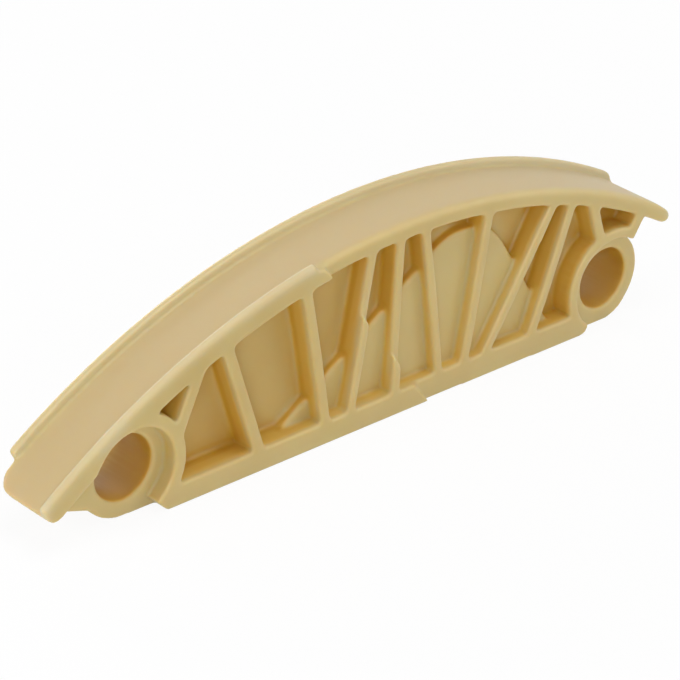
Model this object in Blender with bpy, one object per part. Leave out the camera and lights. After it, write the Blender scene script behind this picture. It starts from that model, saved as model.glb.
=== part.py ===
# A timing chain guide: one plastic moulding with a curved running floor between two lips, carried by
# a ribbed web that stands on a straight rail, with a pivot boss at each end.
# x runs along the rail from its left end, y from the front face to the back, z up, in metres.

from math import atan2, ceil, cos, degrees, floor, hypot, radians, sin

import bmesh
import bpy
from mathutils import Matrix, Vector

# Running flange: every arc of it has one centre below its crown, and its angles start from straight up
FLOOR_RADIUS = 0.1328
CROWN = Vector((0.05704, 0.03673))
FLANGE_THICKNESS = 0.0031
FLANGE_LEFT_ANGLE = -38.5
FLANGE_RIGHT_ANGLE = 29.53
FLANGE_BACK = 0.01425
LEFT_END_BACK = 0.0131
LEFT_BACK_CORNER_RADIUS = 0.004
LEFT_UNDER_EDGE_RADIUS = 0.0020
NOSE_DIP = 0.0005
NOSE_DIP_ANGLE = 3.0
ARC_PITCH = 1.0

# Lips along the two sides of the floor
LIP_HEIGHT = 0.0014
FRONT_LIP_THICKNESS = 0.00175
FRONT_LIP_CREST_RADIUS = 0.0013
FRONT_LIP_LEFT_ANGLE = -38.4
FRONT_LIP_RIGHT_ANGLE = -11.0
BACK_LIP_THICKNESS = 0.0017
BACK_LIP_LEFT_ANGLE = -36.1
BACK_LIP_START_RADIUS = 0.0009
BACK_LIP_RIGHT_ANGLE = 28.2
BACK_LIP_END_RADIUS = 0.0024
LIP_EDGE_RADIUS = 0.0004

# Rail and web
RAIL_LENGTH = 0.1019
RAIL_END_RADIUS = 0.0018
RAIL_LEFT_TOE = Vector((-0.0026, 0.0026))
RAIL_HEIGHT_LEFT = 0.0041
RAIL_HEIGHT_RIGHT = 0.0048
LEFT_FACE = -0.0008
WEB_FRONT = 0.0043
WEB_THICKNESS = 0.0025
RIBS_BACK = 0.01345
FOOT_HEIGHT = 0.0029
FOOT_OVERLAP = 0.001
LEFT_FOOT_LENGTH = 0.006
RIGHT_FOOT_LENGTH = 0.0044
# Corners of the plain wall between the left boss and the flange above it
LEFT_WEB_UNDER_BOSS = Vector((-0.0110, 0.0024))
LEFT_WEB_TOP = Vector((-0.0070, 0.0182))
LEFT_WEB_SHOULDER = Vector((-0.0190, 0.0105))
LEFT_WEB_END_TOP = Vector((-0.0217, 0.0083))
LEFT_WEB_END_FOOT = Vector((-0.0219, 0.0060))

# The front face drops back along a slanted step and comes forward again towards the right boss
STEP_FOOT_X = 0.0603
STEP_LEAN = -0.78
RIGHT_FACE_AT_STEP = 0.0002
RIGHT_FACE_TAPER = -0.0113
RIGHT_FACE_FROM_X = 0.045
RIGHT_EDGE_RADIUS = 0.0009

# Bosses
BORE_RADIUS = 0.006
LEFT_BOSS = Vector((-0.007, 0.0091))
LEFT_TUBE_RADIUS = 0.00906
LEFT_RING_INNER = 0.0084
LEFT_RING_OUTER = 0.0109
LEFT_TUBE_FRONT = 0.00233
RIGHT_BOSS = Vector((0.10725, 0.0088))
RIGHT_TUBE_RADIUS = 0.00902
RIGHT_RING_INNER = 0.00885
RIGHT_RING_OUTER = 0.01094
RIGHT_TUBE_FRONT = 0.0017
CIRCLE_STEPS = 72

# Ribs: foot, head, thickness, and how far the middle bows towards the right
RIBS = (
    (Vector((0.0012, 0.0116)), Vector((0.0067, 0.0249)), 0.0025, 0.0),
    (Vector((0.0202, 0.0042)), Vector((0.0124, 0.0254)), 0.0024, 0.0),
    (Vector((0.0353, 0.0042)), Vector((0.0297, 0.0296)), 0.0022, 0.00027),
    (Vector((0.0414, 0.0042)), Vector((0.0450, 0.0300)), 0.0019, 0.0),
    (Vector((0.0520, 0.0042)), Vector((0.0519, 0.0300)), 0.0020, 0.0),
    (Vector((0.0632, 0.0044)), Vector((0.0580, 0.0320)), 0.0019, 0.00035),
    (Vector((0.0697, 0.0050)), Vector((0.0730, 0.0315)), 0.00205, 0.0002),
    (Vector((0.0753, 0.0052)), Vector((0.0890, 0.0289)), 0.00205, 0.00035),
    (Vector((0.0869, 0.0051)), Vector((0.0942, 0.0273)), 0.0020, 0.00025),
    (Vector((0.1043, 0.0165)), Vector((0.1006, 0.0262)), 0.00225, 0.0),
)
RIB_OVERRUN = 0.006
# The short wall from the right boss up to the flange, on its pocket side and on its open side
END_RIB_INNER_FOOT = Vector((0.1090, 0.0146))
END_RIB_INNER_HEAD = Vector((0.1124, 0.0211))
END_RIB_OUTER_FOOT = Vector((0.1121, 0.0157))
END_RIB_OUTER_HEAD = Vector((0.1150, 0.0205))
FIRST_POCKET_LEFT = Vector((-0.0060, 0.0174))
POCKET_CORNER_RADIUS = 0.0005

# Raised part of the web in the middle pockets
PLATEAU_FRONT = 0.00233
PLATEAU_RIM_RADIUS = 0.0008
PLATEAU_LEFT_FOOT = Vector((0.0262, 0.0035))
PLATEAU_LEFT_HEAD = Vector((0.0623, 0.0279))
PLATEAU_CENTRE = Vector((0.06935, 0.0174))
PLATEAU_RADIUS = 0.0126
PLATEAU_RIGHT_HEAD = Vector((0.0798, 0.0245))
PLATEAU_RIGHT_FOOT = Vector((0.0941, 0.0035))

# How far a cutter runs past what it cuts, and how near two places count as one
OVERRUN = 0.010
TOUCH = 0.000002
TOUCH_ANGLE = 0.01
WELD_DISTANCE = 0.0000002
SHORT_EDGE = 0.0001
FLAT_ANGLE = 0.05
SHARP_ANGLE = 20
FINISH_COLOUR = (0.60, 0.45, 0.20, 1.0)
FINISH_ROUGHNESS = 0.42


def arc(centre, radius, start, end, pitch):
    """Points on an arc: its two ends, and the whole multiples of the pitch well between them."""
    low, high = min(start, end), max(start, end)
    margin = pitch * 0.7
    angles = [low]
    step = int(low // pitch) + 1
    while step * pitch < high - margin:
        if step * pitch > low + margin:
            angles.append(step * pitch)
        step += 1
    angles.append(high)
    if start > end:
        angles.reverse()
    return [on_circle(centre, radius, angle) for angle in angles]


def on_circle(centre, radius, angle):
    """The point at an angle measured clockwise from straight up, in degrees."""
    return Vector((centre.x + radius * sin(radians(angle)), centre.y + radius * cos(radians(angle))))


def arc_centre():
    """The one centre of all the flange's arcs."""
    return Vector((CROWN.x, CROWN.y - FLOOR_RADIUS))


def flange_arc(radius, start, end):
    return arc(arc_centre(), radius, start, end, ARC_PITCH)


def flange_point(radius, angle):
    return on_circle(arc_centre(), radius, angle)


def angle_of(point, centre):
    return degrees(atan2(point.x - centre.x, point.y - centre.y))


def flange_angle(point):
    return angle_of(point, arc_centre())


def step_x(height):
    """Where the slanted step crosses the front face at a height."""
    return STEP_FOOT_X + STEP_LEAN * height


def new_object(name, mesh, collection):
    part = bpy.data.objects.new(name, mesh)
    collection.objects.link(part)
    return part


def evaluated_mesh(part):
    depsgraph = bpy.context.evaluated_depsgraph_get()
    return bpy.data.meshes.new_from_object(part.evaluated_get(depsgraph))


def plate(name, outline, front, back, collection):
    """A flat plate between two depths, from an outline in x and z."""
    curve = bpy.data.curves.new(name, "CURVE")
    curve.dimensions = "2D"
    curve.fill_mode = "BOTH"
    curve.extrude = (back - front) / 2
    spline = curve.splines.new("POLY")
    spline.points.add(len(outline) - 1)
    for knot, point in zip(spline.points, outline):
        knot.co = (point.x, point.y, 0.0, 1.0)
    spline.use_cyclic_u = True
    flat = bpy.data.objects.new(name, curve)
    collection.objects.link(flat)
    mesh = evaluated_mesh(flat)
    bpy.data.objects.remove(flat)
    for vertex in mesh.vertices:
        x, z, side = vertex.co
        vertex.co = (x, front if side > 0 else back, z)
    weld(mesh)
    return new_object(name, mesh, collection)


def weld(mesh):
    """Join the points that coincide."""
    bm = bmesh.new()
    bm.from_mesh(mesh)
    bmesh.ops.remove_doubles(bm, verts=bm.verts, dist=WELD_DISTANCE)
    bmesh.ops.recalc_face_normals(bm, faces=bm.faces)
    bm.to_mesh(mesh)
    bm.free()


def drum(name, centre, radius, front, back, collection):
    """A closed cylinder along y."""
    bm = bmesh.new()
    bmesh.ops.create_cone(bm, cap_ends=True, segments=CIRCLE_STEPS, radius1=radius, radius2=radius, depth=1.0)
    for vertex in bm.verts:
        x, z, side = vertex.co
        vertex.co = (centre.x + x, front if side > 0 else back, centre.y + z)
    bmesh.ops.recalc_face_normals(bm, faces=bm.faces)
    mesh = bpy.data.meshes.new(name)
    bm.to_mesh(mesh)
    bm.free()
    return new_object(name, mesh, collection)


def combine(part, tool, operation):
    """Join a tool to a part, or cut it out of the part, and use the tool up."""
    modifier = part.modifiers.new(operation, "BOOLEAN")
    modifier.operation = operation
    modifier.solver = "MANIFOLD"
    modifier.object = tool
    bpy.context.view_layer.update()
    mesh = evaluated_mesh(part)
    part.modifiers.clear()
    part.data = mesh
    bpy.data.objects.remove(tool)
    weld(mesh)


def join(part, tool):
    combine(part, tool, "UNION")


def cut(part, tool):
    combine(part, tool, "DIFFERENCE")


def round_edges(part, chosen, radius, segments):
    """Round the edges whose two ends both pass a test on x, y and z."""
    bm = bmesh.new()
    bm.from_mesh(part.data)
    edges = [edge for edge in bm.edges if turns(edge) and all(chosen(vertex.co) for vertex in edge.verts)]
    bevel_edges(bm, edges, radius, segments)
    bm.to_mesh(part.data)
    bm.free()


def turns(edge):
    """Whether the surface really turns at an edge."""
    return len(edge.link_faces) == 2 and edge.calc_face_angle() > radians(SHARP_ANGLE)


def bevel_edges(bm, edges, radius, segments):
    bmesh.ops.bevel(
        bm,
        geom=edges,
        offset=radius,
        offset_type="OFFSET",
        segments=segments,
        profile=0.5,
        affect="EDGES",
        clamp_overlap=True,
        material=-1,
    )


def reach(position):
    """How far a place lies from the centre of the flange's arcs."""
    centre = arc_centre()
    return hypot(position.x - centre.x, position.z - centre.y)


def right_face(x):
    """Depth of the front face to the right of the step."""
    return RIGHT_FACE_AT_STEP + RIGHT_FACE_TAPER * (x - RIGHT_FACE_FROM_X)


def turn_of(position):
    """The angle of a place about that centre."""
    return flange_angle(position.xz)


# The curved flange that the chain runs on, with a rounded nose that dips at its right end
def build_flange(collection):
    under = FLOOR_RADIUS - FLANGE_THICKNESS
    nose_radius = (FLANGE_THICKNESS - NOSE_DIP) / 2
    nose_start = FLANGE_RIGHT_ANGLE - degrees(nose_radius / FLOOR_RADIUS)
    dip_start = nose_start - NOSE_DIP_ANGLE
    outline = flange_arc(FLOOR_RADIUS, FLANGE_LEFT_ANGLE, dip_start)
    for share in (0.25, 0.5, 0.75, 1.0):
        outline.append(flange_point(FLOOR_RADIUS - NOSE_DIP * share ** 2, dip_start + NOSE_DIP_ANGLE * share))
    nose_centre = flange_point(under + nose_radius, nose_start)
    outline += arc(nose_centre, nose_radius, nose_start, nose_start + 180, 22.5)[1:-1]
    outline += flange_arc(under, nose_start, FLANGE_LEFT_ANGLE)
    flange = plate("flange", outline, LEFT_FACE, FLANGE_BACK, collection)
    round_edges(
        flange,
        lambda place: reach(place) < under + TOUCH and turn_of(place) < FLANGE_LEFT_ANGLE + TOUCH_ANGLE,
        LEFT_UNDER_EDGE_RADIUS,
        3,
    )
    cut(flange, build_left_corner(collection))
    return flange


# What the flange's left end lacks behind: a strip past the back lip, and a large round corner
def build_left_corner(collection):
    strip = radians(BACK_LIP_LEFT_ANGLE - FLANGE_LEFT_ANGLE) * FLOOR_RADIUS
    centre = Vector((LEFT_BACK_CORNER_RADIUS, LEFT_END_BACK - LEFT_BACK_CORNER_RADIUS))
    beyond = FLANGE_BACK + OVERRUN
    outline = [Vector((-OVERRUN, beyond)), Vector((-OVERRUN, centre.y))]
    outline += arc(centre, LEFT_BACK_CORNER_RADIUS, -90, 0, 15)
    outline += [Vector((strip, LEFT_END_BACK)), Vector((strip, beyond))]
    corner = plate("left_corner", outline, -OVERRUN, OVERRUN, collection)
    along = radians(FLANGE_LEFT_ANGLE)
    origin = flange_point(FLOOR_RADIUS, FLANGE_LEFT_ANGLE)
    place = Matrix((
        (cos(along), sin(along), 0.0, origin.x),
        (0.0, 0.0, 1.0, 0.0),
        (-sin(along), cos(along), 0.0, origin.y),
        (0.0, 0.0, 0.0, 1.0),
    ))
    corner.data.transform(place)
    # the placing is a mirroring one, which leaves the faces inside out
    corner.data.flip_normals()
    return corner


def lip_outline(start, end, start_radius, end_radius):
    """Side view of a lip, sunk into the flange, with the two corners of its crest rounded."""
    root = FLOOR_RADIUS - FLANGE_THICKNESS / 2
    crest = FLOOR_RADIUS + LIP_HEIGHT
    first = start + degrees(start_radius / crest)
    last = end - degrees(end_radius / crest)
    outline = flange_arc(crest, first, last)
    if start_radius:
        corner = flange_point(crest - start_radius, first)
        outline = arc(corner, start_radius, first - 90, first, 22.5)[:-1] + outline
    if end_radius:
        corner = flange_point(crest - end_radius, last)
        outline += arc(corner, end_radius, last, last + 90, 22.5)[1:]
    return outline + flange_arc(root, end, start)


def build_back_lip(collection):
    outline = lip_outline(BACK_LIP_LEFT_ANGLE, BACK_LIP_RIGHT_ANGLE, BACK_LIP_START_RADIUS, BACK_LIP_END_RADIUS)
    lip = plate("back_lip", outline, FLANGE_BACK - BACK_LIP_THICKNESS, FLANGE_BACK, collection)
    round_edges(lip, lambda place: reach(place) > FLOOR_RADIUS, LIP_EDGE_RADIUS, 2)
    return lip


def build_front_lip(collection):
    outline = lip_outline(FRONT_LIP_LEFT_ANGLE, FRONT_LIP_RIGHT_ANGLE, 0.0, 0.0)
    lip = plate("front_lip", outline, LEFT_FACE, LEFT_FACE + FRONT_LIP_THICKNESS, collection)
    crest = FLOOR_RADIUS + LIP_HEIGHT / 2
    round_edges(lip, lambda place: reach(place) > crest and place.y < 0, FRONT_LIP_CREST_RADIUS, 4)
    round_edges(lip, lambda place: reach(place) > crest and place.y > 0, LIP_EDGE_RADIUS, 2)
    return lip


# The solid that the pockets are cut from: rail, web, ribs and rings in one block
def build_block(collection):
    inside_flange = FLOOR_RADIUS - FLANGE_THICKNESS / 2
    rail_end = Vector((RAIL_LENGTH - RAIL_END_RADIUS, RAIL_END_RADIUS))
    outline = [Vector((0.0, 0.0))]
    outline += arc(rail_end, RAIL_END_RADIUS, 180, 90, 22.5)
    outline += [RIGHT_BOSS, END_RIB_OUTER_FOOT, END_RIB_OUTER_HEAD]
    outline += flange_arc(inside_flange, flange_angle(END_RIB_OUTER_HEAD), flange_angle(LEFT_WEB_TOP))
    outline += [LEFT_BOSS, RAIL_LEFT_TOE]
    return plate("block", outline, LEFT_FACE, RIBS_BACK, collection)


# The plain wall between the left boss and the flange above it
def build_left_web(collection):
    outline = [LEFT_WEB_UNDER_BOSS, LEFT_BOSS, LEFT_WEB_TOP]
    outline += [LEFT_WEB_SHOULDER, LEFT_WEB_END_TOP, LEFT_WEB_END_FOOT]
    return plate("left_web", outline, LEFT_TUBE_FRONT, WEB_FRONT + WEB_THICKNESS, collection)


def build_foot(name, start, end, front, collection):
    """The flat underside that carries on from the rail to below a boss."""
    low = [Vector((start, 0.0)), Vector((end, 0.0))]
    outline = low + [Vector((end, FOOT_HEIGHT)), Vector((start, FOOT_HEIGHT))]
    return plate(name, outline, front, RIBS_BACK, collection)


def rib_outline(foot, head, thickness, bow):
    """A bowed bar that runs past its foot and its head."""
    along = (head - foot).normalized()
    across = Vector((along.y, -along.x))
    start = foot - along * RIB_OVERRUN
    end = head + along * RIB_OVERRUN
    right, left = [], []
    for share in (0.0, 0.2, 0.4, 0.6, 0.8, 1.0):
        middle = start.lerp(end, share) + across * bow * 4 * share * (1 - share)
        right.append(middle + across * thickness / 2)
        left.append(middle - across * thickness / 2)
    return right + left[::-1]


def window_outline():
    """Everything between the rail and the flange, from one boss to the other."""
    under = FLOOR_RADIUS - FLANGE_THICKNESS
    rail_top = [Vector((0.0, RAIL_HEIGHT_LEFT)), Vector((RAIL_LENGTH, RAIL_HEIGHT_RIGHT))]
    flange = flange_arc(under, flange_angle(END_RIB_INNER_HEAD), flange_angle(FIRST_POCKET_LEFT))
    return rail_top + [END_RIB_INNER_FOOT] + flange + [LEFT_BOSS]


# The hollows between the ribs, as one tool for the front or the back of the web
def build_pockets(name, front, back, collection):
    pockets = plate(name, window_outline(), front, back, collection)
    low, high = front - OVERRUN, back + OVERRUN
    for foot, head, thickness, bow in RIBS:
        cut(pockets, plate("rib", rib_outline(foot, head, thickness, bow), low, high, collection))
    cut(pockets, drum("left_ring", LEFT_BOSS, LEFT_RING_OUTER, low, high, collection))
    cut(pockets, drum("right_ring", RIGHT_BOSS, RIGHT_RING_OUTER, low, high, collection))
    round_uprights(pockets, POCKET_CORNER_RADIUS)
    return pockets


def uprights(bm):
    """The edges that run straight from front to back."""
    return [edge for edge in bm.edges if (edge.verts[1].co - edge.verts[0].co).xz.length < TOUCH]


def clear_corners(bm, distance):
    """Drop the points of an arc that lie too near a corner for it to be rounded."""
    corners = [edge.verts[0].co.xz for edge in uprights(bm) if turns(edge)]
    slight = [edge for edge in uprights(bm) if not turns(edge)]
    near = [edge for edge in slight if min((edge.verts[0].co.xz - corner).length for corner in corners) < distance]
    bmesh.ops.dissolve_edges(bm, edges=near, use_verts=True)


def round_uprights(part, radius):
    """Round the corners that run straight from front to back."""
    bm = bmesh.new()
    bm.from_mesh(part.data)
    bmesh.ops.remove_doubles(bm, verts=bm.verts, dist=SHORT_EDGE)
    bmesh.ops.dissolve_limit(bm, angle_limit=radians(FLAT_ANGLE), verts=bm.verts, edges=bm.edges)
    clear_corners(bm, radius * 2)
    for corner in [edge for edge in uprights(bm) if turns(edge)]:
        bevel_edges(bm, [corner], radius, 3)
    bm.to_mesh(part.data)
    bm.free()


def build_plateau(collection):
    first = angle_of(PLATEAU_LEFT_HEAD, PLATEAU_CENTRE)
    last = angle_of(PLATEAU_RIGHT_HEAD, PLATEAU_CENTRE)
    outline = [PLATEAU_RIGHT_FOOT, PLATEAU_LEFT_FOOT]
    outline += arc(PLATEAU_CENTRE, PLATEAU_RADIUS, first, last, 9)
    plateau = plate("plateau", outline, PLATEAU_FRONT, WEB_FRONT + OVERRUN, collection)
    round_edges(plateau, lambda place: place.y < WEB_FRONT, PLATEAU_RIM_RADIUS, 3)
    return plateau


def beyond_step(name, front, back, collection):
    """A plate that holds all there is to the right of the slanted step."""
    low, high = -OVERRUN, CROWN.y + OVERRUN
    far = RIGHT_BOSS.x + RAIL_LENGTH
    outline = [Vector((step_x(low), low)), Vector((far, low)), Vector((far, high)), Vector((step_x(high), high))]
    return plate(name, outline, front, back, collection)


# What lies in front of the right half of the face, and outside its round top edge
def build_step(collection):
    step = beyond_step("step", LEFT_FACE - OVERRUN, 0.0, collection)
    edge = build_edge_waste(collection)
    combine(edge, beyond_step("right_half", LEFT_FACE - OVERRUN * 2, OVERRUN, collection), "INTERSECT")
    join(step, edge)
    for vertex in step.data.vertices:
        if vertex.co.y > LEFT_FACE:
            vertex.co.y += right_face(vertex.co.x)
    return step


def build_edge_waste(collection):
    """What a round edge between the front face and the floor leaves out, spun about the flange's centre."""
    centre = arc_centre()
    first = floor(FRONT_LIP_RIGHT_ANGLE / ARC_PITCH) * ARC_PITCH
    steps = ceil((FLANGE_RIGHT_ANGLE - first) / ARC_PITCH) + 1
    inner = FLOOR_RADIUS - RIGHT_EDGE_RADIUS
    profile = [(LEFT_FACE * 2, inner), (0.0, inner)]
    for turn in (30, 60, 90):
        depth = RIGHT_EDGE_RADIUS * (1 - cos(radians(turn)))
        profile.append((depth, inner + RIGHT_EDGE_RADIUS * sin(radians(turn))))
    outside = FLOOR_RADIUS + LIP_HEIGHT * 2
    profile += [(RIGHT_EDGE_RADIUS, outside), (LEFT_FACE * 2, outside)]
    bm = bmesh.new()
    places = [on_circle(centre, radius, first) for depth, radius in profile]
    ring = [bm.verts.new((place.x, depth, place.y)) for place, (depth, radius) in zip(places, profile)]
    face = bm.faces.new(ring)
    bmesh.ops.spin(
        bm,
        geom=[face],
        cent=(centre.x, 0.0, centre.y),
        axis=(0.0, 1.0, 0.0),
        angle=radians(steps * ARC_PITCH),
        steps=steps,
        use_duplicate=False,
    )
    bmesh.ops.recalc_face_normals(bm, faces=bm.faces)
    mesh = bpy.data.meshes.new("edge_waste")
    bm.to_mesh(mesh)
    bm.free()
    return new_object("edge_waste", mesh, collection)


def tidy(part):
    """Drop the edges that lie within flat faces."""
    bm = bmesh.new()
    bm.from_mesh(part.data)
    bmesh.ops.dissolve_limit(bm, angle_limit=radians(TOUCH_ANGLE), verts=bm.verts, edges=bm.edges)
    bmesh.ops.triangulate(bm, faces=bm.faces)
    bmesh.ops.recalc_face_normals(bm, faces=bm.faces)
    bm.to_mesh(part.data)
    bm.free()


def centre_on_origin(part):
    """Put the middle of the part's box over the origin, and its lowest point at height zero."""
    corners = [Vector(corner) for corner in part.bound_box]
    low = Vector([min(corner[axis] for corner in corners) for axis in range(3)])
    high = Vector([max(corner[axis] for corner in corners) for axis in range(3)])
    middle = (low + high) / 2
    part.data.transform(Matrix.Translation((-middle.x, -middle.y, -low.z)))


def moulding_material():
    material = bpy.data.materials.new("moulded_plastic")
    material.use_nodes = True
    shader = material.node_tree.nodes["Principled BSDF"]
    shader.inputs["Base Color"].default_value = FINISH_COLOUR
    shader.inputs["Roughness"].default_value = FINISH_ROUGHNESS
    shader.inputs["Metallic"].default_value = 0.0
    return material


def build_guide(parts, tools):
    guide = build_block(parts)
    guide.name = "chain_guide"
    join(guide, build_flange(tools))
    join(guide, build_back_lip(tools))
    join(guide, build_front_lip(tools))
    join(guide, build_left_web(tools))
    join(guide, build_foot("left_foot", -LEFT_FOOT_LENGTH, FOOT_OVERLAP, LEFT_TUBE_FRONT, tools))
    right_foot = (RAIL_LENGTH - RAIL_END_RADIUS - FOOT_OVERLAP, RAIL_LENGTH + RIGHT_FOOT_LENGTH)
    join(guide, build_foot("right_foot", *right_foot, RIGHT_TUBE_FRONT, tools))
    join(guide, drum("left_tube", LEFT_BOSS, LEFT_TUBE_RADIUS, LEFT_TUBE_FRONT, RIBS_BACK, tools))
    join(guide, drum("right_tube", RIGHT_BOSS, RIGHT_TUBE_RADIUS, RIGHT_TUBE_FRONT, RIBS_BACK, tools))
    near = LEFT_FACE - OVERRUN
    cut(guide, drum("left_bore", LEFT_BOSS, BORE_RADIUS, near, RIBS_BACK + OVERRUN, tools))
    cut(guide, drum("right_bore", RIGHT_BOSS, BORE_RADIUS, near, RIBS_BACK + OVERRUN, tools))
    cut(guide, build_step(tools))
    cut(guide, drum("left_recess", LEFT_BOSS, LEFT_RING_INNER, near, LEFT_TUBE_FRONT, tools))
    cut(guide, drum("right_recess", RIGHT_BOSS, RIGHT_RING_INNER, near, RIGHT_TUBE_FRONT, tools))
    front_pockets = build_pockets("front_pockets", near, WEB_FRONT, tools)
    cut(front_pockets, build_plateau(tools))
    cut(guide, front_pockets)
    cut(guide, build_pockets("back_pockets", WEB_FRONT + WEB_THICKNESS, RIBS_BACK + OVERRUN, tools))
    keep_above(guide, 0.0)
    return guide


def keep_above(part, height):
    """Cut off whatever hangs below the rail's underside."""
    bm = bmesh.new()
    bm.from_mesh(part.data)
    geometry = bm.verts[:] + bm.edges[:] + bm.faces[:]
    result = bmesh.ops.bisect_plane(
        bm,
        geom=geometry,
        dist=WELD_DISTANCE,
        plane_co=(0, 0, height),
        plane_no=(0, 0, -1),
        clear_outer=True,
    )
    cut_edges = [item for item in result["geom_cut"] if isinstance(item, bmesh.types.BMEdge)]
    if cut_edges:
        bmesh.ops.holes_fill(bm, edges=cut_edges, sides=0)
    bm.to_mesh(part.data)
    bm.free()


def main():
    for old in list(bpy.data.objects):
        bpy.data.objects.remove(old)
    parts = bpy.data.collections.new("chain_guide")
    tools = bpy.data.collections.new("cutters")
    bpy.context.scene.collection.children.link(parts)
    bpy.context.scene.collection.children.link(tools)
    guide = build_guide(parts, tools)
    tidy(guide)
    centre_on_origin(guide)
    guide.data.materials.clear()
    guide.data.materials.append(moulding_material())
    guide.data.shade_smooth()
    guide.data.set_sharp_from_angle(angle=radians(30))


main()
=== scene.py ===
# %% [markdown]
# The object is a timing chain guide: one injection moulding of undyed nylon, on which the timing chain
# of an engine slides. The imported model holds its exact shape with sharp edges. This lesson loads that
# model, gives it the soft edges and the waxy yellow skin of the real moulding, and photographs it in a
# plain studio.

from math import cos, pi, radians, sin, sqrt

import bmesh
import bpy
import numpy as np
from mathutils import Matrix, Vector
from mathutils.bvhtree import BVHTree


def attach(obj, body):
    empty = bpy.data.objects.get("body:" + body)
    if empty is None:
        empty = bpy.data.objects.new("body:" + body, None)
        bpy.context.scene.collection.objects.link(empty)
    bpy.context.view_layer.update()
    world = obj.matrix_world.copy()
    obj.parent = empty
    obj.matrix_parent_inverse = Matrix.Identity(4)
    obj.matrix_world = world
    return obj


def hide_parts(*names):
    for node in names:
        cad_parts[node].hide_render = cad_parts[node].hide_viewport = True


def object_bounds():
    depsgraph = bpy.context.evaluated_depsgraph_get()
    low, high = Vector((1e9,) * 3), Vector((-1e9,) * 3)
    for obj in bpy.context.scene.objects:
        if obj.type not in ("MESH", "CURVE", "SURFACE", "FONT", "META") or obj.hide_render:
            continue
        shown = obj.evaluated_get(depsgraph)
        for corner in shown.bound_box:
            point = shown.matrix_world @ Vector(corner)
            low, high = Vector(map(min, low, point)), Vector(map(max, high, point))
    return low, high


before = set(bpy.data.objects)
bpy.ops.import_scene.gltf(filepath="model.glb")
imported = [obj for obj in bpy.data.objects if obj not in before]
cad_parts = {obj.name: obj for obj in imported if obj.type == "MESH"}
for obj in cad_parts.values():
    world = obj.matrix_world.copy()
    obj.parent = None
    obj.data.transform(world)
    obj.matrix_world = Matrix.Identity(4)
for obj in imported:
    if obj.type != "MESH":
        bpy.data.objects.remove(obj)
CAD_BOUNDS = [list(corner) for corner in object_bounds()]
guide_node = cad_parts["chain_guide"]
print("CAD box", CAD_BOUNDS)

# %% [markdown]
# Every place in this lesson is first known on the moulding itself: x from the left end of its straight
# rail, y from the front face of its right half, z from the rail's underside. The model stands with the
# middle of its box over the origin, so one shift carries such a place into the scene.

# %% Places on the moulding
MM = 0.001
SHIFT = Vector((-47.692, -6.725, 0.0)) * MM
ARC_CENTRE = Vector((57.04, 0.0, -96.07)) * MM + SHIFT
FLOOR_RADIUS = 132.8 * MM
FLANGE_THICKNESS = 3.1 * MM
FRONT_LIP_BACK = 0.95 * MM + SHIFT.y
BACK_LIP_FRONT = 12.55 * MM + SHIFT.y
BORES = (Vector((-7.0, 0.0, 9.1)) * MM + SHIFT, Vector((107.25, 0.0, 8.8)) * MM + SHIFT)
BORE_RADIUS = 6.0 * MM
print("arc centre", [round(value, 4) for value in ARC_CENTRE])

# %% [markdown]
# A moulding has no sharp edge anywhere: the steel mould is polished, and the plastic shrinks a little
# as it sets. Bevelling each edge of so crowded a web by hand would be slow, so the merged copy of the
# model is rebuilt from small voxels and smoothed. That rounds every rim and leaves a small fillet at
# the foot of every wall, as the real mould does.

# %% Merge a copy of the model
SAME_PLACE = 0.001 * MM
VOXEL = 0.2 * MM
SMOOTH_ROUNDS = 14


def merged_copy(node, name):
    bm = bmesh.new()
    bm.from_mesh(node.data)
    bmesh.ops.remove_doubles(bm, verts=bm.verts, dist=SAME_PLACE)
    mesh = bpy.data.meshes.new(name)
    bm.to_mesh(mesh)
    bm.free()
    piece = bpy.data.objects.new(name, mesh)
    bpy.context.scene.collection.objects.link(piece)
    return piece


def use_modifier(piece, kind, **settings):
    """Add one modifier, set it, and make its result the piece's own mesh."""
    modifier = piece.modifiers.new(kind.title(), kind)
    for name, value in settings.items():
        setattr(modifier, name, value)
    depsgraph = bpy.context.evaluated_depsgraph_get()
    mesh = bpy.data.meshes.new_from_object(piece.evaluated_get(depsgraph))
    piece.modifiers.clear()
    old = piece.data
    piece.data = mesh
    bpy.data.meshes.remove(old)


moulding = merged_copy(guide_node, "guide_moulding")
use_modifier(moulding, "REMESH", mode="VOXEL", voxel_size=VOXEL, adaptivity=0.0)
print("voxel faces", len(moulding.data.polygons))
use_modifier(moulding, "SMOOTH", factor=0.5, iterations=SMOOTH_ROUNDS)

# %% [markdown]
# Two places are rounder still. The chain must never catch on the lips beside the running floor, so the
# mould maker sweeps their crests and lets the front one run down to the floor in a wide hollow. And the
# ribs are drawn out of deep narrow slots in the steel, which are rounded so that the hot plastic flows
# into them. A vertex group picks out each place, and a second smoothing works on that group alone.

# %% Round the lips and the ribs
LIP_REACH = 1.6 * MM
BACK_LIP_SHARE = 0.55
LIP_ROUNDS = 64
WEB_ROUNDS = 44


def places_of(mesh):
    """The mesh's vertices as rows of x, y, z."""
    flat = np.empty(len(mesh.vertices) * 3, dtype=np.float32)
    mesh.vertices.foreach_get("co", flat)
    return flat.reshape(-1, 3)


def rise(values, low, high):
    """0 below the low value, 1 above the high one, and a soft rise between them."""
    share = np.clip((values - low) / (high - low), 0.0, 1.0)
    return share * share * (3.0 - 2.0 * share)


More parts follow.
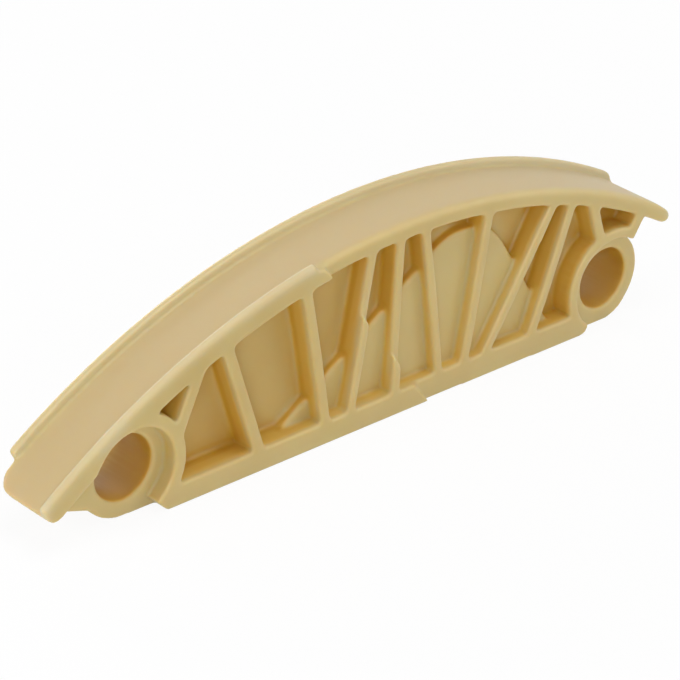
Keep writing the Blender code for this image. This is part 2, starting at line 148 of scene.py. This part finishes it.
def lip_weights(mesh):
    """1 on the lips' crests, fading out on the floor and down the front face."""
    rows = places_of(mesh)
    radius = np.hypot(rows[:, 0] - ARC_CENTRE.x, rows[:, 2] - ARC_CENTRE.z)
    high = rise(radius, FLOOR_RADIUS - 2.2 * MM, FLOOR_RADIUS - 0.2 * MM)
    front = 1.0 - rise(rows[:, 1], FRONT_LIP_BACK + 0.5 * MM, FRONT_LIP_BACK + LIP_REACH)
    back = rise(rows[:, 1], BACK_LIP_FRONT - LIP_REACH, BACK_LIP_FRONT - 0.5 * MM)
    return high * np.maximum(front, BACK_LIP_SHARE * back)


def web_weights(mesh):
    """1 on the ribbed web between the rail and the flange, fading out into both."""
    rows = places_of(mesh)
    radius = np.hypot(rows[:, 0] - ARC_CENTRE.x, rows[:, 2] - ARC_CENTRE.z)
    under_flange = 1.0 - rise(radius, FLOOR_RADIUS - FLANGE_THICKNESS, FLOOR_RADIUS - 1.2 * MM)
    return under_flange * rise(rows[:, 2], 1.5 * MM, 3.5 * MM)


def group_by_weight(piece, name, weights, steps=10):
    """A vertex group made in a few even steps of weight."""
    group = piece.vertex_groups.new(name=name)
    level = np.round(weights * steps).astype(int)
    for step in range(1, steps + 1):
        group.add(np.nonzero(level == step)[0].tolist(), step / steps, "REPLACE")


for name, weights_of, rounds in (
    ("lips", lip_weights, LIP_ROUNDS),
    ("web", web_weights, WEB_ROUNDS),
):
    group_by_weight(moulding, name, weights_of(moulding.data))
    use_modifier(moulding, "SMOOTH", factor=0.5, iterations=rounds, vertex_group=name)
    moulding.vertex_groups.clear()
    print("rounded", name)

# %% [markdown]
# The smoothed mesh has far more faces than its flat places need. Decimate keeps them where the surface
# bends, and leaves long slivers that run the whole depth of a bore or a wall. A value kept on the corners
# of a sliver can't change along it, so the mesh is cut through at a few depths. Last, it is held inside
# the model's own box, so that the guide is no larger than it was.

# %% Thin the mesh and keep it in its box
TRIANGLES = 140000
CUT_DEPTHS = (1.2, 2.4, 3.6, 5.2, 7.2, 9.2, 10.8)
INSIDE = 0.0001 * MM


def cut_at_depths(mesh, depths):
    """Put a row of points round every wall at each depth behind the front face."""
    bm = bmesh.new()
    bm.from_mesh(mesh)
    for depth in depths:
        everything = bm.verts[:] + bm.edges[:] + bm.faces[:]
        bmesh.ops.bisect_plane(
            bm,
            geom=everything,
            dist=0.01 * MM,
            plane_co=(0.0, depth * MM + SHIFT.y, 0.0),
            plane_no=(0.0, 1.0, 0.0),
        )
    bmesh.ops.triangulate(bm, faces=[face for face in bm.faces if len(face.verts) > 3])
    bm.to_mesh(mesh)
    bm.free()


triangles_now = sum(len(polygon.vertices) - 2 for polygon in moulding.data.polygons)
use_modifier(moulding, "DECIMATE", ratio=TRIANGLES / triangles_now)
cut_at_depths(moulding.data, CUT_DEPTHS)
rows = places_of(moulding.data)
low = np.array(CAD_BOUNDS[0], dtype=np.float32) + INSIDE
high = np.array(CAD_BOUNDS[1], dtype=np.float32) - INSIDE
moulding.data.vertices.foreach_set("co", np.clip(rows, low, high).ravel())
moulding.data.update()
moulding.data.shade_smooth()
print("moulding triangles", len(moulding.data.polygons))

# %% [markdown]
# Undyed nylon lets light in. Where a wall is thin or a rim stands free, light comes out again and the
# plastic looks pale; here that is painted into the colour as a pale highlight. Inside a hollow all light
# has been through nylon before, and less of it arrives: the colour is painted from pale at a wall's rim
# to a honey glow, and to amber shade at its foot, and the web between the walls gets a little painted
# amber shade too. All this painted light and shade follows from the shape, so it is measured once, with
# rays, and kept as attributes of the mesh that the material reads. Averaging between neighbours spreads a
# value about as far as light travels inside.

# %% Measure hollows and rims
HOLLOW_REACH, HOLLOW_RAYS = 16.0 * MM, 18
FOOT_REACH, FOOT_RAYS = 3.5 * MM, 14
RIM_REACH, RIM_RAYS = 2.4 * MM, 10
RAY_LIFT = 0.05 * MM
RIB_FACE = -SHIFT.y
FULL_DEPTH = 5.0 * MM
WEB_LOSS = 0.6
DEEP_ROUNDS, WALL_ROUNDS, RIM_ROUNDS = 14, 20, 6
GOLDEN_ANGLE = pi * (3.0 - sqrt(5.0))


def dome(count):
    """Directions spread over a half sphere about z, denser towards its top."""
    directions = []
    for index in range(count):
        out = sqrt((index + 0.5) / count)
        turn = index * GOLDEN_ANGLE
        directions.append(Vector((out * cos(turn), out * sin(turn), sqrt(1.0 - out * out))))
    return directions


def share_hit(mesh, tree, side, count, reach):
    """For each vertex, the share of rays to one side that meet the surface again within reach."""
    directions = dome(count)
    shares = np.zeros(len(mesh.vertices), dtype=np.float32)
    for index, vertex in enumerate(mesh.vertices):
        normal = vertex.normal * side
        turned = normal.to_track_quat("Z", "Y").to_matrix()
        start = vertex.co + normal * RAY_LIFT
        hits = 0
        for direction in directions:
            if tree.ray_cast(start, turned @ direction, reach)[0] is not None:
                hits += 1
        shares[index] = hits / count
    return shares


def evened(mesh, values, rounds):
    """Average each value with its neighbours' along the edges."""
    flat = np.empty(len(mesh.edges) * 2, dtype=np.int32)
    mesh.edges.foreach_get("vertices", flat)
    first, second = flat[0::2], flat[1::2]
    count = len(values)
    degree = np.bincount(first, minlength=count) + np.bincount(second, minlength=count)
    for _ in range(rounds):
        near = np.bincount(first, weights=values[second], minlength=count)
        near += np.bincount(second, weights=values[first], minlength=count)
        values = 0.5 * values + 0.5 * near / np.maximum(degree, 1)
    return values


def keep_attribute(mesh, name, values):
    attribute = mesh.attributes.new(name, "FLOAT", "POINT")
    attribute.data.foreach_set("value", values.astype(np.float32))


guide_mesh = moulding.data
tree = BVHTree.FromPolygons(
    [vertex.co for vertex in guide_mesh.vertices],
    [tuple(polygon.vertices) for polygon in guide_mesh.polygons],
)

# How squarely a face looks to the front or the back, and how far it lies behind the ribs' faces
square = np.array([vertex.normal.y for vertex in guide_mesh.vertices]) ** 2
inward = RIB_FACE - np.abs(places_of(guide_mesh)[:, 1])
sunk = np.sqrt(np.clip(inward / FULL_DEPTH, 0.0, 1.0))

# How closed in a place is, how near the foot of a wall, and how thin the plastic is there
closed_in = share_hit(guide_mesh, tree, 1.0, HOLLOW_RAYS, HOLLOW_REACH)
near_foot = share_hit(guide_mesh, tree, 1.0, FOOT_RAYS, FOOT_REACH)
thin = share_hit(guide_mesh, tree, -1.0, RIM_RAYS, RIM_REACH)

# These shares drive painted light and shade: amber shade in the hollows (deep), a honey glow painted on
# their walls (wall), and a pale highlight painted on thin rims and the lips (rim)
hollow = rise(closed_in, 0.20, 0.62) * sunk
foot = rise(near_foot, 0.12, 0.50) * sunk**2
measured = {
    "deep": (np.maximum(hollow * (1.0 - WEB_LOSS * square), foot), DEEP_ROUNDS),
    "wall": (hollow * (1.0 - square), WALL_ROUNDS),
    "rim": (thin * (0.4 + 0.6 * lip_weights(guide_mesh)), RIM_ROUNDS),
}
for name, (shares, rounds) in measured.items():
    shares = evened(guide_mesh, shares, rounds)
    keep_attribute(guide_mesh, name, shares)
    print(name, [round(float(value), 2) for value in np.percentile(shares, (5, 50, 95))])


# %% [markdown]
# A material is a small sum over the surface. One class wraps a socket so that such sums read as plain
# arithmetic, and one more holds a material and adds any other node to it.

# %% A small hand for node trees
class Socket:
    """Wraps a node socket, so that shader maths reads as plain arithmetic."""

    def __init__(self, tree, socket):
        self.tree = tree
        self.socket = socket

    def maths(self, operation, first, second):
        node = self.tree.nodes.new("ShaderNodeMath")
        node.operation = operation
        for target, value in zip(node.inputs, (first, second)):
            if isinstance(value, Socket):
                self.tree.links.new(value.socket, target)
            else:
                target.default_value = value
        return Socket(self.tree, node.outputs[0])

    def __add__(self, other):
        return self.maths("ADD", self, other)

    def __radd__(self, other):
        return self.maths("ADD", other, self)

    def __sub__(self, other):
        return self.maths("SUBTRACT", self, other)

    def __rsub__(self, other):
        return self.maths("SUBTRACT", other, self)

    def __mul__(self, other):
        return self.maths("MULTIPLY", self, other)

    def __rmul__(self, other):
        return self.maths("MULTIPLY", other, self)


class Finish:
    """A material and its node tree."""

    def __init__(self, name):
        self.material = bpy.data.materials.new(name)
        self.material.use_nodes = True
        self.tree = self.material.node_tree
        self.shader = self.tree.nodes["Principled BSDF"]

    def node(self, kind, settings=None, inputs=None, output=0):
        """Add a node: its settings first, then the values and links of its sockets."""
        node = self.tree.nodes.new(kind)
        for name, value in (settings or {}).items():
            setattr(node, name, value)
        for name, value in (inputs or {}).items():
            self.feed(node.inputs[name], value)
        return Socket(self.tree, node.outputs[output])

    def feed(self, target, value):
        if isinstance(value, Socket):
            self.tree.links.new(value.socket, target)
        else:
            target.default_value = value

    def set(self, inputs):
        """Give sockets of the shader itself their values or links."""
        for name, value in inputs.items():
            self.feed(self.shader.inputs[name], value)

    def mix(self, factor, first, second):
        """A colour between two colours. Sockets 6 and 7 and output 2 are the node's colour ones."""
        settings = {"data_type": "RGBA", "blend_type": "MIX"}
        inputs = {0: factor, 6: first, 7: second}
        return self.node("ShaderNodeMix", settings, inputs, output=2)

    def ramp(self, value, low, high):
        """0 below the low value, 1 above the high one, and a soft rise between them."""
        settings = {"interpolation_type": "SMOOTHSTEP"}
        inputs = {"Value": value, "From Min": low, "From Max": high}
        return self.node("ShaderNodeMapRange", settings, inputs)

    def noise(self, place, size, detail):
        """Cloudy noise whose lumps are about so large."""
        inputs = {"Vector": place, "Scale": 1.0 / size, "Detail": detail, "Roughness": 0.5}
        return self.node("ShaderNodeTexNoise", None, inputs)

    def attribute(self, name):
        """One of the mesh's own measured values."""
        return self.node("ShaderNodeAttribute", {"attribute_name": name}, output="Fac")


# %% [markdown]
# The skin of the moulding: pale khaki, with light and shade painted into its colour: a honey glow on the
# walls of the hollows and amber shade deeper in them, brown shade under the tops of the bores, and a pale
# highlight on thin rims and the lips. The running floor is a shade pinker and darker, and it is the one
# polished place, with faint marks of the polishing along it. Slow clouds and a fine grain keep the rest
# from looking sprayed on: the granulate never melts quite evenly, and the mould's steel leaves a satin
# that breaks up the gloss. Light scatters far inside, red furthest.

# %% Nylon
NYLON_COLOUR = (0.600, 0.473, 0.198, 1.0)
CLOUD_COLOUR = (0.580, 0.445, 0.183, 1.0)
RUNNING_FLOOR_COLOUR = (0.572, 0.430, 0.205, 1.0)
# The next four colours paint light and shade: a glow on hollow walls, shade in the hollows and the bores,
# and a highlight on rims
WALL_GLOW_COLOUR = (0.740, 0.530, 0.140, 1.0)
HOLLOW_SHADE_COLOUR = (0.545, 0.300, 0.022, 1.0)
BORE_SHADE_COLOUR = (0.400, 0.200, 0.010, 1.0)
RIM_HIGHLIGHT_COLOUR = (0.575, 0.535, 0.370, 1.0)
CLOUD_SIZE = 14.0 * MM
GRAIN_SIZE = 0.45 * MM
MARK_SIZE = 0.6 * MM
MARK_STRETCH = (0.04, 1.0, 0.25)

nylon = Finish("undyed_nylon")
place = nylon.node("ShaderNodeTexCoord", output="Object")
# Mask of the amber shade painted into the hollows
hollow_shade = nylon.ramp(nylon.attribute("deep"), 0.10, 0.90)
# Mask of the honey glow painted on the walls of the hollows
wall_glow = nylon.ramp(nylon.attribute("wall"), 0.15, 0.50)
# Mask of the pale highlight painted on thin rims and the lips
rim_highlight = nylon.ramp(nylon.attribute("rim"), 0.10, 0.70)
cloud = nylon.noise(place, CLOUD_SIZE, 3.0)
grain = nylon.noise(place, GRAIN_SIZE, 2.0)


def reach(finish, place, axis):
    """How far a place is from an axis that runs from front to back."""
    kind = "ShaderNodeVectorMath"
    apart = finish.node(kind, {"operation": "SUBTRACT"}, {0: place, 1: axis})
    flat = finish.node(kind, {"operation": "MULTIPLY"}, {0: apart, 1: (1.0, 0.0, 1.0)})
    return finish.node(kind, {"operation": "LENGTH"}, {0: flat}, output="Value")


# Brown shade painted on the walls of the two bores, more towards their tops
bores = 0.0
for axis in BORES:
    from_axis = reach(nylon, place, axis)
    bores = bores + (1 - nylon.ramp(from_axis, BORE_RADIUS + 0.2 * MM, BORE_RADIUS + 1.0 * MM))
height = nylon.node("ShaderNodeSeparateXYZ", None, {"Vector": place}, output="Z")
bore_shade = bores * hollow_shade * nylon.ramp(height, 5.0 * MM, 11.0 * MM)

# The running floor: as far out as the floor's arc, and between the two lips
depth = nylon.node("ShaderNodeSeparateXYZ", None, {"Vector": place}, output="Y")
from_centre = reach(nylon, place, ARC_CENTRE)
polished = nylon.ramp(from_centre, FLOOR_RADIUS - 0.5 * MM, FLOOR_RADIUS - 0.1 * MM)
polished = polished * nylon.ramp(depth, FRONT_LIP_BACK - 0.5 * MM, FRONT_LIP_BACK + 1.0 * MM)
polished = polished * (1 - nylon.ramp(depth, BACK_LIP_FRONT - 1.0 * MM, BACK_LIP_FRONT))
drawn_out = nylon.node("ShaderNodeMapping", None, {"Vector": place, "Scale": MARK_STRETCH})
marks = polished * nylon.noise(drawn_out, MARK_SIZE, 2.0)

body = nylon.mix(nylon.ramp(cloud, 0.35, 0.70), NYLON_COLOUR, CLOUD_COLOUR)
# The running floor, coloured a shade pinker and darker
body = nylon.mix(polished, body, RUNNING_FLOOR_COLOUR)
# Painted honey glow on the walls of the hollows
body = nylon.mix(wall_glow, body, WALL_GLOW_COLOUR)
# Painted amber shade in the hollows
body = nylon.mix(hollow_shade, body, HOLLOW_SHADE_COLOUR)
# Painted brown shade in the bores
body = nylon.mix(0.65 * bore_shade, body, BORE_SHADE_COLOUR)
# Painted pale highlight on thin rims and the lips, kept off the painted shade
body = nylon.mix(0.9 * (rim_highlight * (1 - hollow_shade)), body, RIM_HIGHLIGHT_COLOUR)
bump = {"Strength": 0.18, "Distance": 0.03 * MM, "Height": grain + 0.4 * marks}
relief = nylon.node("ShaderNodeBump", None, bump)
nylon.set(
    {
        "Base Color": body,
        "Roughness": 0.41 + 0.10 * cloud + 0.06 * grain - 0.05 * marks,
        "Normal": relief,
        "IOR": 1.53,
        "Subsurface Weight": 1.0,
        "Subsurface Radius": (1.0, 0.68, 0.40),
        "Subsurface Scale": 1.8 * MM,
    }
)
guide_mesh.materials.clear()
guide_mesh.materials.append(nylon.material)
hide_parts("chain_guide")
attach(moulding, "root")
print("finish", nylon.material.name, len(nylon.tree.nodes), "nodes")

# %% [markdown]
# The studio: a wide sheet of white paper under the guide. The camera and the guide's own gloss see the
# sheet as plain white, and the part of it that answers to the lamps keeps a soft shadow under the rail.

# %% Floor
WHITE = (1.0, 1.0, 1.0, 1.0)
PAPER_GLOW = 0.92
HALF_WIDTH = 3.0

bm = bmesh.new()
bmesh.ops.create_grid(bm, x_segments=1, y_segments=1, size=HALF_WIDTH)
floor_mesh = bpy.data.meshes.new("studio_floor")
bm.to_mesh(floor_mesh)
bm.free()
floor = bpy.data.objects.new("studio_floor", floor_mesh)
bpy.context.scene.collection.objects.link(floor)


def looked_at(tree):
    """1 for rays that look: from the camera, off gloss and through glass."""
    rays = tree.nodes.new("ShaderNodeLightPath").outputs
    looks = Socket(tree, rays["Is Camera Ray"]) + Socket(tree, rays["Is Glossy Ray"])
    return looks + Socket(tree, rays["Is Transmission Ray"])


paper = Finish("white_paper")
paper.set({"Base Color": (0.90, 0.90, 0.90, 1.0), "Roughness": 0.9})
glow = paper.node("ShaderNodeEmission", None, {"Color": WHITE, "Strength": 1.0})
matt = Socket(paper.tree, paper.shader.outputs["BSDF"])
shown = PAPER_GLOW * looked_at(paper.tree)
sheet = paper.node("ShaderNodeMixShader", None, {0: shown, 1: matt, 2: glow})
paper.feed(paper.tree.nodes["Material Output"].inputs["Surface"], sheet)
floor_mesh.materials.append(paper.material)
print("floor", floor.name, 2 * HALF_WIDTH, "m wide")

# %% [markdown]
# The camera stands where the photographer stood: to the left of the guide's front, a little above it,
# with a long lens and the frame turned slightly.

# %% Camera
IMAGE_PIXELS = 680
FOCAL_PIXELS = 3182.0
AZIMUTH = radians(-44.64)
ELEVATION = radians(27.94)
ROLL = radians(3.37)
DISTANCE = 539.8 * MM
TARGET = Vector((38.07, 0.0, 19.10)) * MM + SHIFT

away = Vector((sin(AZIMUTH) * cos(ELEVATION), -cos(AZIMUTH) * cos(ELEVATION), sin(ELEVATION)))
level = Vector((cos(AZIMUTH), sin(AZIMUTH), 0.0))
upright = away.cross(level)
right = cos(ROLL) * level + sin(ROLL) * upright
up = cos(ROLL) * upright - sin(ROLL) * level
camera_data = bpy.data.cameras.new("camera")
camera_data.sensor_width = 36.0
camera_data.lens = FOCAL_PIXELS / IMAGE_PIXELS * camera_data.sensor_width
camera_data.clip_start = 0.01
camera = bpy.data.objects.new("camera", camera_data)
bpy.context.scene.collection.objects.link(camera)
turn = Matrix((right, up, away)).transposed().to_4x4()
camera.matrix_world = Matrix.Translation(TARGET + away * DISTANCE) @ turn
bpy.context.scene.camera = camera
print("camera at", [round(value, 3) for value in camera.matrix_world.translation])

# %% [markdown]
# Large soft lamps stand round the guide, and the white surroundings add a little. Little white light
# reaches into the pockets; the amber of their walls is shade painted into the nylon's colour.

# %% Light
# Each lamp's place and diameter in metres, and its power in watts
LAMPS = {
    "top": ((0.0, -0.15, 1.0), 0.7, 4.3),
    "front_left": ((-0.65, -0.7, 0.4), 0.5, 3.4),
    "front_right": ((0.65, -0.7, 0.4), 0.5, 1.5),
    "right": ((1.0, 0.0, 0.5), 0.5, 1.0),
    "left": ((-1.0, 0.1, 0.5), 0.5, 4.1),
    "back": ((0.25, 0.95, 0.25), 0.6, 4.5),
}
WORLD_STRENGTH = 0.18


def area_light(name, place, size, power):
    light = bpy.data.lights.new(name, "AREA")
    light.shape = "DISK"
    light.size = size
    light.energy = power
    lamp = bpy.data.objects.new(name, light)
    lamp.location = place
    lamp.rotation_euler = (TARGET - Vector(place)).to_track_quat("-Z", "Y").to_euler()
    bpy.context.scene.collection.objects.link(lamp)


for name, (place, size, power) in LAMPS.items():
    area_light(name, place, size, power)
print("lamps", len(LAMPS), "of", sum(power for _, _, power in LAMPS.values()), "W together")

world = bpy.data.worlds.new("studio")
bpy.context.scene.world = world
world.use_nodes = True
background = world.node_tree.nodes["Background"]
background.inputs["Color"].default_value = WHITE
strength = WORLD_STRENGTH + (1.0 - WORLD_STRENGTH) * looked_at(world.node_tree)
world.node_tree.links.new(strength.socket, background.inputs["Strength"])
bpy.context.scene.view_settings.view_transform = "Standard"
